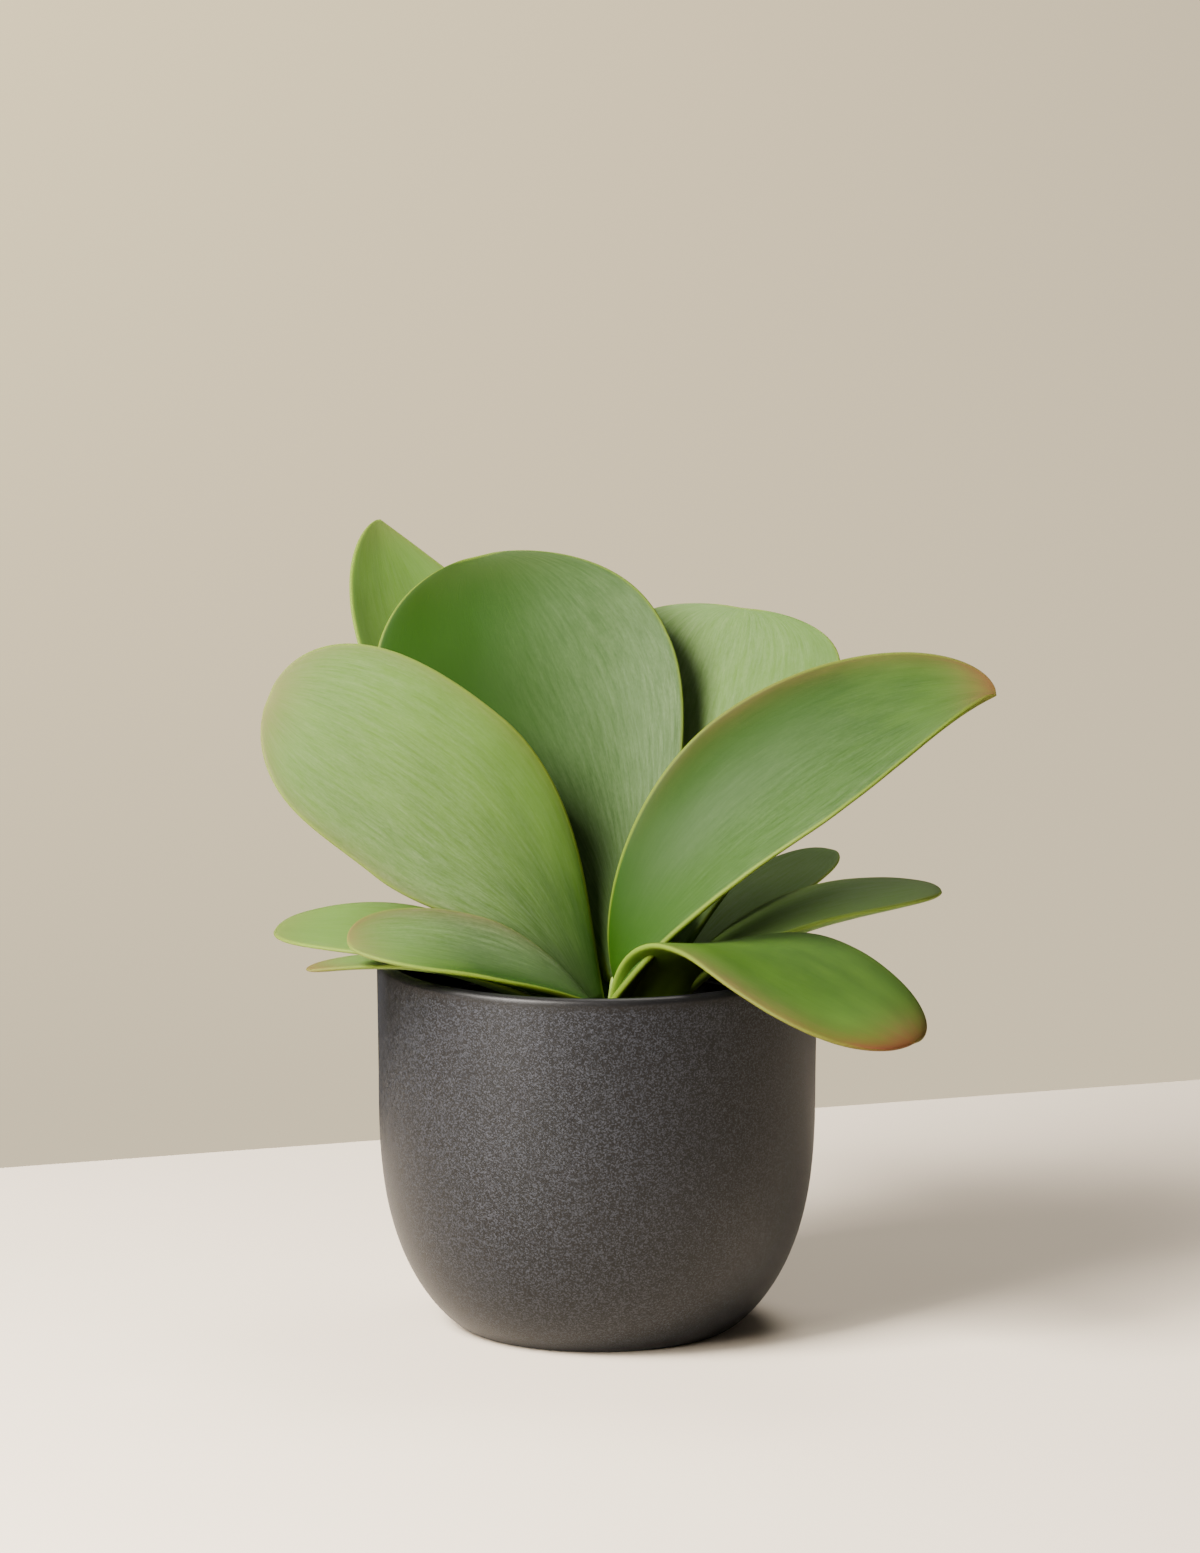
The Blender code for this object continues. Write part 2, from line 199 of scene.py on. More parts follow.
shader.inputs["IOR"].default_value = 1.52
shader.inputs["Specular IOR Level"].default_value = 0.21
grit = add(tree, "ShaderNodeBump", {"Height": mottle.outputs[0], "Strength": 0.5, "Distance": 0.06 * MM})
tree.links.new(grit.outputs["Normal"], shader.inputs["Normal"])


def pot_profile():
    """Flat foot, rounded wall, rolled lip, and back down the inside to the middle of the floor."""
    outside = [(0.0, 0.0), (POT_FOOT_RADIUS - 0.9, 0.0), (POT_FOOT_RADIUS - 0.2, 0.1)]
    for height in foot_crowded(48, POT_SHOULDER)[1:]:
        outside.append((bowl_radius(height, POT_FOOT_RADIUS, POT_RADIUS, POT_SHOULDER), height))
    lip = arc(LIP_RADIUS - LIP_ROUNDING, POT_HEIGHT - LIP_ROUNDING, LIP_ROUNDING, 0, 90, 10)
    inner_lip_radius = LIP_RADIUS - POT_WALL
    lip += arc(inner_lip_radius + LIP_ROUNDING, POT_HEIGHT - LIP_ROUNDING, LIP_ROUNDING, 90, 180, 10)
    inside = []
    inside_depth = POT_SHOULDER - POT_FLOOR
    for height in reversed(foot_crowded(40, inside_depth)):
        radius = bowl_radius(height, POT_FOOT_RADIUS - POT_WALL, POT_RADIUS - POT_WALL, inside_depth)
        inside.append((radius, POT_FLOOR + height))
    return outside + lip + inside + [(0.0, POT_FLOOR)]


cover_pot = turned("stoneware_cover_pot", pot_profile(), POT_SIDES, charcoal_glaze)
show(cover_pot, "charcoal_stoneware", "cover_pot")


# ---- grower's pot ----
# A thin black polypropylene pot, injection moulded with a folded lip and drain holes in its floor. It stands
# loose inside the cover pot and only its lip can be seen from above.
# Moulded polypropylene: a dull black with peat dust on it and a fine spark-eroded grain from the mould, drawn
# 0.5 mm wide, coarser than real so that it shows.
black_plastic, tree, shader = new_material("moulded_black_polypropylene")
place = add(tree, "ShaderNodeTexCoord").outputs["Object"]
mould_grain = add(tree, "ShaderNodeTexNoise", {"Vector": place, "Scale": 1 / (0.5 * MM), "Detail": 2.0})
dust = add(tree, "ShaderNodeTexNoise", {
    "Vector": place, "Scale": 1 / (9 * MM), "Detail": 6.0, "Roughness": 0.7})
dusty = add(tree, "ShaderNodeMapRange", {"Value": dust.outputs["Fac"], "From Min": 0.5, "From Max": 0.75})
plastic_colour = add(tree, "ShaderNodeMix", {
    0: dusty.outputs[0], 6: linear("#1a1a1a"), 7: linear("#2d2824")}, data_type="RGBA")
tree.links.new(plastic_colour.outputs[2], shader.inputs["Base Color"])
shader.inputs["Roughness"].default_value = 0.48
shader.inputs["IOR"].default_value = 1.49
moulded = add(tree, "ShaderNodeBump", {
    "Height": mould_grain.outputs["Fac"], "Strength": 0.4, "Distance": 0.05 * MM})
tree.links.new(moulded.outputs["Normal"], shader.inputs["Normal"])
grower_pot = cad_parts["grower_pot"]
grower_pot.data.materials.clear()
grower_pot.data.materials.append(black_plastic)


# ---- potting mix ----
# Dark peat with composted bark chips and white perlite, filled loose into the grower's pot and settled by
# watering. The chips and the perlite lie on top, half sunk.
MIX_SEED = 11
mix_low, mix_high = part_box("potting_mix")
MIX_RADIUS = mix_high.x / MM
MIX_TOP = mix_high.z / MM - 1.8
MIX_BOTTOM = mix_low.z / MM
MIX_BOTTOM_RADIUS = MIX_RADIUS * 0.72
MOUND_HEIGHT = 0.9             # rise of the mix round the stem
MOUND_SPREAD = 10.0
LUMP_HEIGHT = 0.75
LUMP_SIZE = 9.0
CHIPS = 260
PERLITE = 90
EDGE_CLEARANCE = 3.5           # least distance of a chip's middle from the grower's pot
STEM_X, STEM_Y = 8.0, -3.0     # where the stem comes out of the mix

# Moist peat is nearly black brown and dull, with crumbs of one to three millimetres.
peat, tree, shader = new_material("moist_peat")
place = add(tree, "ShaderNodeTexCoord").outputs["Object"]
crumbs = add(tree, "ShaderNodeTexNoise", {
    "Vector": place, "Scale": 1 / (2 * MM), "Detail": 8.0, "Roughness": 0.75})
peat_colour = add(tree, "ShaderNodeValToRGB", {"Fac": crumbs.outputs["Fac"]})
peat_colour.color_ramp.elements[0].position = 0.35
peat_colour.color_ramp.elements[0].color = linear("#17100b")
peat_colour.color_ramp.elements[1].position = 0.75
peat_colour.color_ramp.elements[1].color = linear("#4a3524")
tree.links.new(peat_colour.outputs["Color"], shader.inputs["Base Color"])
shader.inputs["Roughness"].default_value = 0.93
crumbled = add(tree, "ShaderNodeBump", {
    "Height": crumbs.outputs["Fac"], "Strength": 0.9, "Distance": 0.8 * MM})
tree.links.new(crumbled.outputs["Normal"], shader.inputs["Normal"])

# Composted pine bark: fibrous brown flakes, darker where wet.
bark, tree, shader = new_material("composted_pine_bark")
place = add(tree, "ShaderNodeTexCoord").outputs["Object"]
fibre = add(tree, "ShaderNodeTexNoise", {
    "Vector": place, "Scale": 1 / (1.2 * MM), "Detail": 6.0, "Roughness": 0.7})
chip_tone = add(tree, "ShaderNodeTexNoise", {"Vector": place, "Scale": 1 / (6 * MM), "Detail": 1.0})
bark_colour = add(tree, "ShaderNodeValToRGB", {"Fac": chip_tone.outputs["Fac"]})
bark_colour.color_ramp.elements[0].position = 0.35
bark_colour.color_ramp.elements[0].color = linear("#2c1c12")
bark_colour.color_ramp.elements[1].position = 0.68
bark_colour.color_ramp.elements[1].color = linear("#6b4a30")
tree.links.new(bark_colour.outputs["Color"], shader.inputs["Base Color"])
shader.inputs["Roughness"].default_value = 0.85
fibrous = add(tree, "ShaderNodeBump", {"Height": fibre.outputs["Fac"], "Strength": 0.8, "Distance": 0.4 * MM})
tree.links.new(fibrous.outputs["Normal"], shader.inputs["Normal"])

# Perlite: puffed white volcanic glass, rough and matt, stained a little by the peat.
perlite, tree, shader = new_material("stained_perlite")
place = add(tree, "ShaderNodeTexCoord").outputs["Object"]
stain = add(tree, "ShaderNodeTexNoise", {"Vector": place, "Scale": 1 / (2.5 * MM), "Detail": 4.0})
perlite_colour = add(tree, "ShaderNodeMix", {
    0: stain.outputs["Fac"], 6: linear("#e6e0d4"), 7: linear("#a89880")}, data_type="RGBA")
tree.links.new(perlite_colour.outputs[2], shader.inputs["Base Color"])
shader.inputs["Roughness"].default_value = 0.9


def mix_height(x, y):
    """Height of the settled surface, a little raised round the stem."""
    near_stem = math.exp(-((x - STEM_X) ** 2 + (y - STEM_Y) ** 2) / (2 * MOUND_SPREAD ** 2))
    lumps = noise.fractal(Vector((x / LUMP_SIZE, y / LUMP_SIZE, 3.1)), 1.0, 2.1, 4)
    return MIX_TOP + MOUND_HEIGHT * near_stem + LUMP_HEIGHT * lumps


def mix_surface():
    """Body of the mix, with the settled surface on top and one more ring at the bottom."""
    rings, sides = 44, 120
    points = [(0, 0, MIX_BOTTOM), (0, 0, mix_height(0, 0))]
    for ring in range(1, rings + 1):
        radius = MIX_RADIUS * ring / rings
        for step in range(sides):
            turn = 2 * math.pi * step / sides
            x, y = radius * math.cos(turn), radius * math.sin(turn)
            points.append((x, y, mix_height(x, y)))
    base = len(points)
    for step in range(sides):
        turn = 2 * math.pi * step / sides
        points.append((MIX_BOTTOM_RADIUS * math.cos(turn), MIX_BOTTOM_RADIUS * math.sin(turn), MIX_BOTTOM))
    faces = ring_faces(2, rings + 1, sides) + cap_faces(1, 2, sides) + cap_faces(0, base, sides)
    return mesh_piece("settled_peat", points, faces, peat)


def scattered_bits(name, count, sizes, flatness, finish, chance):
    """Irregular lumps scattered over the mix, each a squashed and jittered icosphere."""
    gathered = bmesh.new()
    for _ in range(count):
        radius = (MIX_RADIUS - EDGE_CLEARANCE) * math.sqrt(chance.random())
        turn = chance.uniform(0, 2 * math.pi)
        x, y = radius * math.cos(turn), radius * math.sin(turn)
        size = chance.uniform(*sizes)
        lump = bmesh.ops.create_icosphere(gathered, subdivisions=2, radius=1.0)["verts"]
        stretch = (size * chance.uniform(0.5, 1.0), size * chance.uniform(0.35, 0.7), size * flatness)
        tilt = (chance.uniform(-0.5, 0.5), chance.uniform(-0.5, 0.5), chance.uniform(0, 6.28))
        lean = Euler(tilt).to_matrix()
        away = Vector((chance.uniform(0, 90), 0, 0))
        for vert in lump:
            shaped = vert.co * (1 + 0.45 * noise.noise(vert.co * 1.6 + away))
            shaped = lean @ Vector([a * b for a, b in zip(shaped, stretch)])
            vert.co = (shaped + Vector((x, y, mix_height(x, y) + size * flatness * 0.35))) * MM
    mesh = bpy.data.meshes.new(name)
    gathered.to_mesh(mesh)
    gathered.free()
    mesh.materials.append(finish)
    piece = bpy.data.objects.new(name, mesh)
    bpy.context.scene.collection.objects.link(piece)
    return piece


show(mix_surface(), "peat_mix", "potting_mix")
mix_chance = random.Random(MIX_SEED)
chips = scattered_bits("bark_chips", CHIPS, (2.2, 6.0), 0.28, bark, mix_chance)
show(chips, "peat_mix")
grit_bits = scattered_bits("perlite_bits", PERLITE, (1.0, 2.2), 0.7, perlite, mix_chance)
grit_bits.data.shade_smooth()
show(grit_bits, "peat_mix")


# ---- stem ----
# One short succulent stem, as thick as a thumb, green at the growing tip and corky brown where it leaves the
# mix. The ridges round it are the scars of leaves that it has shed.
STEM_ROOT = 52.0
STEM_TOP = 104.0
STEM_RADIUS = 7.8
STEM_TOP_RADIUS = 3.9
STEM_FULL = 60.0               # height from which the buried end has its full thickness
STEM_TAPER = 78.0              # height from which it narrows to the top
SCAR_SPACING = 6.5
SCAR_WIDTH = 0.7
SCAR_RELIEF = 0.15

# Succulent stem skin: waxy green, turning to dull cork low down.
stem_skin, tree, shader = new_material("waxy_stem_skin")
place = add(tree, "ShaderNodeTexCoord").outputs["Object"]
stem_height = add(tree, "ShaderNodeSeparateXYZ", {"Vector": place})
cork_patches = add(tree, "ShaderNodeTexNoise", {"Vector": place, "Scale": 1 / (4 * MM), "Detail": 6.0})
age = add(tree, "ShaderNodeMapRange", {
    "Value": stem_height.outputs["Z"], "From Min": 76 * MM, "From Max": 96 * MM,
    "To Min": 1.25, "To Max": -0.25})
corked = add(tree, "ShaderNodeMath", {
    0: age.outputs[0], 1: cork_patches.outputs["Fac"], 2: -0.35}, operation="MULTIPLY_ADD")
corked = add(tree, "ShaderNodeMath", {0: corked.outputs[0], 1: 1.6}, operation="MULTIPLY", use_clamp=True)
stem_colour = add(tree, "ShaderNodeMix", {
    0: corked.outputs[0], 6: linear("#71883a"), 7: linear("#6f5a3e")}, data_type="RGBA")
tree.links.new(stem_colour.outputs[2], shader.inputs["Base Color"])
shader.inputs["Roughness"].default_value = 0.55
corky = add(tree, "ShaderNodeBump", {
    "Height": cork_patches.outputs["Fac"], "Strength": 0.5, "Distance": 0.3 * MM})
tree.links.new(corky.outputs["Normal"], shader.inputs["Normal"])


def stem_profile():
    """Blunt buried end, straight middle with leaf scars, and a taper to the growing tip."""
    profile = [(0.0, STEM_ROOT), (STEM_RADIUS * 0.45, STEM_ROOT), (STEM_RADIUS * 0.75, STEM_ROOT + 4)]
    for step in range(41):
        height = STEM_FULL + (STEM_TOP - 1.5 - STEM_FULL) * step / 40
        share = max((height - STEM_TAPER) / (STEM_TOP - STEM_TAPER), 0)
        radius = STEM_RADIUS + (STEM_TOP_RADIUS - STEM_RADIUS) * share
        scar = math.exp(-((height % SCAR_SPACING - SCAR_SPACING / 2) / SCAR_WIDTH) ** 2)
        profile.append((radius - SCAR_RELIEF * (1 - scar), height))
    profile += [(STEM_TOP_RADIUS * 0.7, STEM_TOP - 0.4), (0.0, STEM_TOP)]
    return profile


plant_stem = turned("plant_stem", stem_profile(), 48, stem_skin, (STEM_X, STEM_Y))
show(plant_stem, "green_stem", "stem")


# ---- leaves ----
# Thick paddle-shaped leaves, each a water store with a waxy skin. A white powdery bloom lies over the skin in
# streaks that run from foot to tip. Some leaves and sides carry more bloom and a paler green than others, and
# this is partly painted light and sheen; less bloom and a deeper green are partly painted shade. Strong light
# turns the margins red.
#   turn, out, low    where the foot sits: compass angle round the stem, distance from its axis, height
#   leave             compass angle in which the middle line leaves the foot
#   tip               far end of the middle line
#   rise              how steeply the middle line leaves the foot and reaches the tip, in degrees
#   hold              share of the leaf over which each of those two directions lasts
#   width, stalk      widest part of the blade, and width at the foot
#   widest            share of the length where the blade is widest
#   blunt, point      fullness of the end, and how sharply its left and right edges close: 0.5 is round
#   roll, cup         turn about the middle line and bend across the width, at foot, middle and tip
#   sides             share of the half width on the left and on the right of the middle line
#   thick             thickness half way along
#   tone_and_painted_light  from deep green, 0, to pale green, 1, at foot, middle and tip: the leaf's own
#   tone,
#                       deepened in places as painted shade and paled in places as painted light
#   bloom_and_painted_light  powder on the left and right side, at foot, middle and tip: the leaf's own bloom,
#                       raised in places as painted light and sheen and lowered in places as painted shade
#   blush             red on the left margin, the right margin and the tip
LEAVES = {
    # The deep green foot of this leaf is painted shade.
    "leaf_front_left": dict(
        turn=182, out=10.2, low=95, leave=172, tip=(-95, -2, 185), rise=(70, 22), width=72, stalk=12,
        widest=0.57, blunt=3.7, roll=(-50, -71, -64), cup=(22, 16, 10), sides=(0.86, 0.82), thick=4.4,
        tone_and_painted_light=(-0.15, 0.5, 0.9), bloom_and_painted_light=((0.45, 0.0), (0.9, 0.2), (0.8, 0.8)), blush=(0.25, 0.20, 0.25)),
    # This leaf's deeper green middle and tip and the bare left half are painted shade; the heavier powder
    # along its right half is partly a painted sheen.
    "leaf_rear_centre": dict(
        turn=98, out=8, low=100, leave=102, tip=(-35, 59, 217), rise=(80, 68), width=90, stalk=9,
        widest=0.65, blunt=2.3, roll=(-10, -32, -36), cup=(35, 24, 12), thick=4.4,
        tone_and_painted_light=(0.3, -0.3, -0.4), bloom_and_painted_light=((0.5, 0.6), (-0.2, 0.6), (-0.2, 0.2)), blush=(0.0, 0.0, 0.05)),
    "leaf_rear_left": dict(
        turn=128, out=11, low=91, leave=122, tip=(-65, 99, 222), rise=(66, 62), width=62, stalk=11,
        widest=0.58, blunt=1.9, point=(0.6, 1.0), roll=(0, -5, -10), cup=(40, 35, 25),
        tone_and_painted_light=(0.3, 0.45, 0.6), bloom_and_painted_light=((0.1, 0.2), (0.1, 0.25), (0.25, 0.3)), blush=(0.0, 0.1, 0.15)),
    # The pale foot of this leaf and the heavy powder on its left half, which lie in the shadow of
    # leaf_rear_centre, are painted light.
    "leaf_rear_right": dict(
        turn=48, out=10.5, low=94, leave=48, tip=(43, 62, 201), rise=(66, 48), width=77, stalk=10,
        widest=0.67, blunt=4.2, roll=(0, 3, 6), cup=(35, 22, 10),
        tone_and_painted_light=(1.0, 0.5, 0.5), bloom_and_painted_light=((1.2, 1.0), (0.7, 0.3), (0.9, 0.4)), blush=(0.0, 0.0, 0.0)),
    # The deeper green middle of this leaf and the lack of powder on it are painted shade.
    "leaf_right": dict(
        turn=-92, out=10, low=97, leave=-60, tip=(115, -10, 187), rise=(72, 8), hold=(0.36, 0.35),
        width=60, stalk=24, widest=0.53, blunt=1.9, point=(0.5, 1.35), roll=(48, 42, 45), cup=(45, 40, 25),
        sides=(0.92, 0.95), tone_and_painted_light=(0.0, -0.15, 0.3), bloom_and_painted_light=((0.0, 0.0), (0.0, 0.4), (0.1, 0.2)),
        blush=(0.35, 0.0, 0.55)),
    # This leaf's very pale green and heavy powder are painted light.
    "leaf_right_small": dict(
        turn=38, out=11.5, low=87, leave=42, tip=(69, 47, 131), rise=(58, 20), width=31, stalk=8,
        widest=0.66, blunt=2.3, cup=(25, 15, 8), thick=3.2,
        tone_and_painted_light=(1.5, 1.5, 1.5), bloom_and_painted_light=((1.5, 1.4), (1.2, 1.0), (1.0, 0.9)), blush=(0.0, 0.0, 0.0)),
    # This leaf's pale green and the heavy powder towards its tip are painted light.
    "leaf_right_low": dict(
        turn=-5, out=11, low=89, leave=-10, tip=(100, 3, 127), rise=(70, 5), hold=(0.26, 0.4),
        width=32, stalk=9, widest=0.6, blunt=2.0, roll=(5, 8, 8), cup=(35, 30, 15), thick=3.6,
        tone_and_painted_light=(1.2, 1.2, 1.4), bloom_and_painted_light=((0.3, 0.3), (0.7, 0.5), (1.0, 0.9)), blush=(0.1, 0.0, 0.1)),
    # The pale foot of this leaf, which lies in deep shade, is painted light.
    "leaf_front_right": dict(
        turn=-58, out=12.5, low=90, leave=-52, tip=(90, -68, 97), rise=(84, -30), hold=(0.46, 0.4),
        width=54, stalk=22, widest=0.62, blunt=2.3, roll=(-35, 4, 8), cup=(15, 5, -15), sides=(0.9, 1.04),
        tone_and_painted_light=(1.1, 0.25, 0.4), bloom_and_painted_light=((0.0, 0.0), (0.0, 0.1), (0.1, 0.0)), blush=(0.05, 0.5, 0.6)),
    "leaf_front_low": dict(
        turn=250, out=12, low=89, leave=252, tip=(-71, -42, 120), rise=(44, 6), hold=(0.28, 0.4),
        width=43, stalk=12, widest=0.54, blunt=2.2, roll=(-10, -16, -22), cup=(28, 28, 20), sides=(0.86, 1.0),
        thick=3.4,
        tone_and_painted_light=(-0.3, -0.1, 0.9), bloom_and_painted_light=((0.0, 0.2), (-0.2, 0.9), (0.5, 0.6)), blush=(0.0, 0.4, 0.3)),
    "leaf_left_small": dict(
        turn=178, out=11, low=87, leave=178, tip=(-94, 17, 113), rise=(44, -4), width=42, stalk=9,
        widest=0.66, blunt=2.2, roll=(-4, -9, -9), cup=(25, 15, 8), thick=3.6,
        tone_and_painted_light=(0.6, 0.85, 0.9), bloom_and_painted_light=((0.4, 0.4), (0.45, 0.45), (0.4, 0.4)), blush=(0.1, 0.0, 0.2)),
    "leaf_left_tiny": dict(
        turn=212, out=11, low=82, leave=212, tip=(-83, -38, 112), rise=(50, -6), width=20, stalk=7,
        widest=0.6, blunt=2.0, cup=(25, 15, 8), thick=2.6,
        tone_and_painted_light=(0.6, 0.8, 1.0), bloom_and_painted_light=((0.3, 0.3), (0.4, 0.4), (0.6, 0.6)), blush=(0.15, 0.15, 0.6)),
    "leaf_bud": dict(
        turn=20, out=4, low=105, leave=20, tip=(17, 11, 153), rise=(80, 80), width=15, stalk=6,
        widest=0.5, blunt=2.0, cup=(50, 50, 40), thick=2.4,
        tone_and_painted_light=(0.1, 0.1, 0.2), bloom_and_painted_light=((0.0, 0.0), (0.1, 0.1), (0.1, 0.1)), blush=(0.0, 0.0, 0.0)),
    "leaf_rear_low": dict(
        turn=85, out=11, low=86, leave=85, tip=(19, 88, 122), rise=(50, 0), width=38, stalk=9,
        widest=0.62, blunt=2.2, cup=(30, 25, 10), thick=3.6,
        tone_and_painted_light=(0.4, 0.5, 0.7), bloom_and_painted_light=((0.4, 0.4), (0.3, 0.5), (0.5, 0.5)), blush=(0.1, 0.3, 0.4)),
    "leaf_rear_low_left": dict(
        turn=138, out=11.5, low=80, leave=138, tip=(-50, 78, 124), rise=(54, 6), width=42, stalk=9,
        widest=0.62, blunt=2.2, cup=(30, 25, 10), thick=3.6,
        tone_and_painted_light=(0.4, 0.6, 0.7), bloom_and_painted_light=((0.4, 0.4), (0.5, 0.3), (0.5, 0.5)), blush=(0.2, 0.0, 0.3)),
}
FOOT_THICKENING = 1.25         # thickness at the foot, as a share of thick
TIP_THINNING = 0.55            # how much of that share is lost by the tip
TIP_START = 0.93               # share of the length past which the blade thins out to its edge
EDGE_FULLNESS = 0.7            # below 1 the cross-section is fuller than an ellipse
LEAF_RINGS = 72
LEAF_SIDES = 56
SKIN_WAVE = 0.35               # how far the blade's surface rises and falls
WAVE_LENGTH = 24.0
RED_TIP = 9.0                  # how far the red reaches back from the tip
UNDERSIDE_SHIFT = 40.0         # keeps the pattern of the underside from repeating the upper one

# Skin of a succulent leaf: waxy and slightly glossy, so light wraps softly, with deep green tissue under a
# white bloom. The bloom lies in streaks about 1.3 mm wide and 11 mm long. The margin, where the two faces
# meet, has no bloom and shows as a clear yellow-green line about 1 mm wide.
DEEP_GREEN = "#193502"
PALE_GREEN = "#4b6a1c"
BLOOM = "#6a7d58"
MARGIN = "#657722"
BLUSH = "#5b3623"
leaf_skin, tree, shader = new_material("waxy_succulent_leaf_skin")
place = add(tree, "ShaderNodeAttribute", attribute_name="leaf_mm").outputs["Vector"]
# The stored tone and powder are the leaf's own colour with painted light and shade in them: deeper green and
# less powder where a leaf lies in shade, paler green and more powder where it is lit or shows a sheen.
tone_and_painted_light = add(tree, "ShaderNodeAttribute", attribute_name="tone_and_painted_light").outputs["Fac"]
powder_and_painted_light = add(tree, "ShaderNodeAttribute", attribute_name="bloom_and_painted_light").outputs["Fac"]
blush = add(tree, "ShaderNodeAttribute", attribute_name="blush").outputs["Fac"]
margin_mm = add(tree, "ShaderNodeAttribute", attribute_name="margin_mm").outputs["Fac"]
along_leaf = add(tree, "ShaderNodeMapping", {"Vector": place, "Scale": (1 / 1.3, 1 / 11, 1.0)})
streaks = add(tree, "ShaderNodeTexNoise", {
    "Vector": along_leaf.outputs[0], "Scale": 1.0, "Detail": 5.0, "Roughness": 0.62, "Distortion": 0.25})
wide_leaf = add(tree, "ShaderNodeMapping", {"Vector": place, "Scale": (1 / 9, 1 / 26, 1.0)})
clouds = add(tree, "ShaderNodeTexNoise", {"Vector": wide_leaf.outputs[0], "Scale": 1.0, "Detail": 3.0})
grain_leaf = add(tree, "ShaderNodeMapping", {"Vector": place, "Scale": (1 / 0.5, 1 / 1.4, 1.0)})
fine = add(tree, "ShaderNodeTexNoise", {"Vector": grain_leaf.outputs[0], "Scale": 1.0, "Detail": 3.0})

cloudy = add(tree, "ShaderNodeMath", {
    0: clouds.outputs["Fac"], 1: 0.5, 2: -0.25}, operation="MULTIPLY_ADD")
paleness_and_painted_light = add(tree, "ShaderNodeMath", {0: cloudy.outputs[0], 1: tone_and_painted_light}, operation="ADD", use_clamp=True)
green = add(tree, "ShaderNodeMix", {
    0: paleness_and_painted_light.outputs[0], 6: linear(DEEP_GREEN), 7: linear(PALE_GREEN)}, data_type="RGBA")
streak_share = add(tree, "ShaderNodeMapRange", {
    "Value": streaks.outputs["Fac"], "From Min": 0.3, "From Max": 0.72, "To Min": 0.45, "To Max": 1.25})
fine_share = add(tree, "ShaderNodeMapRange", {
    "Value": fine.outputs["Fac"], "From Min": 0.3, "From Max": 0.7, "To Min": 0.8, "To Max": 1.15})
powder_and_painted_light_share = add(tree, "ShaderNodeMath", {0: powder_and_painted_light, 1: streak_share.outputs[0]}, operation="MULTIPLY")
powder_and_painted_light_share = add(tree, "ShaderNodeMath", {0: powder_and_painted_light_share.outputs[0], 1: fine_share.outputs[0]},
                   operation="MULTIPLY")
powder_and_painted_light_share = add(tree, "ShaderNodeMath", {0: powder_and_painted_light_share.outputs[0], 1: 0.6}, operation="MULTIPLY",
                   use_clamp=True)
skin_colour = add(tree, "ShaderNodeMix", {
    0: powder_and_painted_light_share.outputs[0], 6: green.outputs[2], 7: linear(BLOOM)}, data_type="RGBA")
blush_noise = add(tree, "ShaderNodeMapRange", {
    "Value": streaks.outputs["Fac"], "From Min": 0.3, "From Max": 0.7, "To Min": 0.7, "To Max": 1.2})
blush_share = add(tree, "ShaderNodeMath", {0: blush, 1: blush_noise.outputs[0]}, operation="MULTIPLY",
                  use_clamp=True)
skin_colour = add(tree, "ShaderNodeMix", {
    0: blush_share.outputs[0], 6: skin_colour.outputs[2], 7: linear(BLUSH)}, data_type="RGBA")
margin_share = add(tree, "ShaderNodeMapRange", {
    "Value": margin_mm, "From Min": 0.2, "From Max": 1.0, "To Min": 0.6, "To Max": 0.0})
margin_left = add(tree, "ShaderNodeMath", {0: 1.0, 1: blush_share.outputs[0]}, operation="SUBTRACT")
margin_share = add(tree, "ShaderNodeMath", {0: margin_share.outputs[0], 1: margin_left.outputs[0]},
                   operation="MULTIPLY")
skin_colour = add(tree, "ShaderNodeMix", {
    0: margin_share.outputs[0], 6: skin_colour.outputs[2], 7: linear(MARGIN)}, data_type="RGBA")
tree.links.new(skin_colour.outputs[2], shader.inputs["Base Color"])
leaf_roughness = add(tree, "ShaderNodeMapRange", {
    "Value": powder_and_painted_light_share.outputs[0], "To Min": 0.56, "To Max": 0.68})
tree.links.new(leaf_roughness.outputs[0], shader.inputs["Roughness"])
shader.inputs["IOR"].default_value = 1.45
shader.inputs["Specular IOR Level"].default_value = 0.12
shader.inputs["Subsurface Weight"].default_value = 0.12
shader.inputs["Subsurface Radius"].default_value = (0.6, 1.0, 0.25)
shader.inputs["Subsurface Scale"].default_value = 1.5 * MM
relief = add(tree, "ShaderNodeMath", {0: streaks.outputs["Fac"], 1: fine.outputs["Fac"]}, operation="ADD")
veined = add(tree, "ShaderNodeBump", {"Height": relief.outputs[0], "Strength": 0.25, "Distance": 0.12 * MM})
tree.links.new(veined.outputs["Normal"], shader.inputs["Normal"])


def along(values, share):
    """Value at a share of the length, on a smooth curve through evenly spaced values."""
    padded = [2 * values[0] - values[1], *values, 2 * values[-1] - values[-2]]
    step = min(int(share * (len(values) - 1)), len(values) - 2)
    t = share * (len(values) - 1) - step
    a, b, c, d = padded[step:step + 4]
    square = 2 * a - 5 * b + 4 * c - d
    cube = 3 * b - a - 3 * c + d
    return 0.5 * (2 * b + (c - a) * t + square * t ** 2 + cube * t ** 3)


def direction(compass, rise):
    """Unit vector from a compass angle and a rise, in degrees."""
    level = math.cos(math.radians(rise))
    turn = math.radians(compass)
    return np.array([level * math.cos(turn), level * math.sin(turn), math.sin(math.radians(rise))])


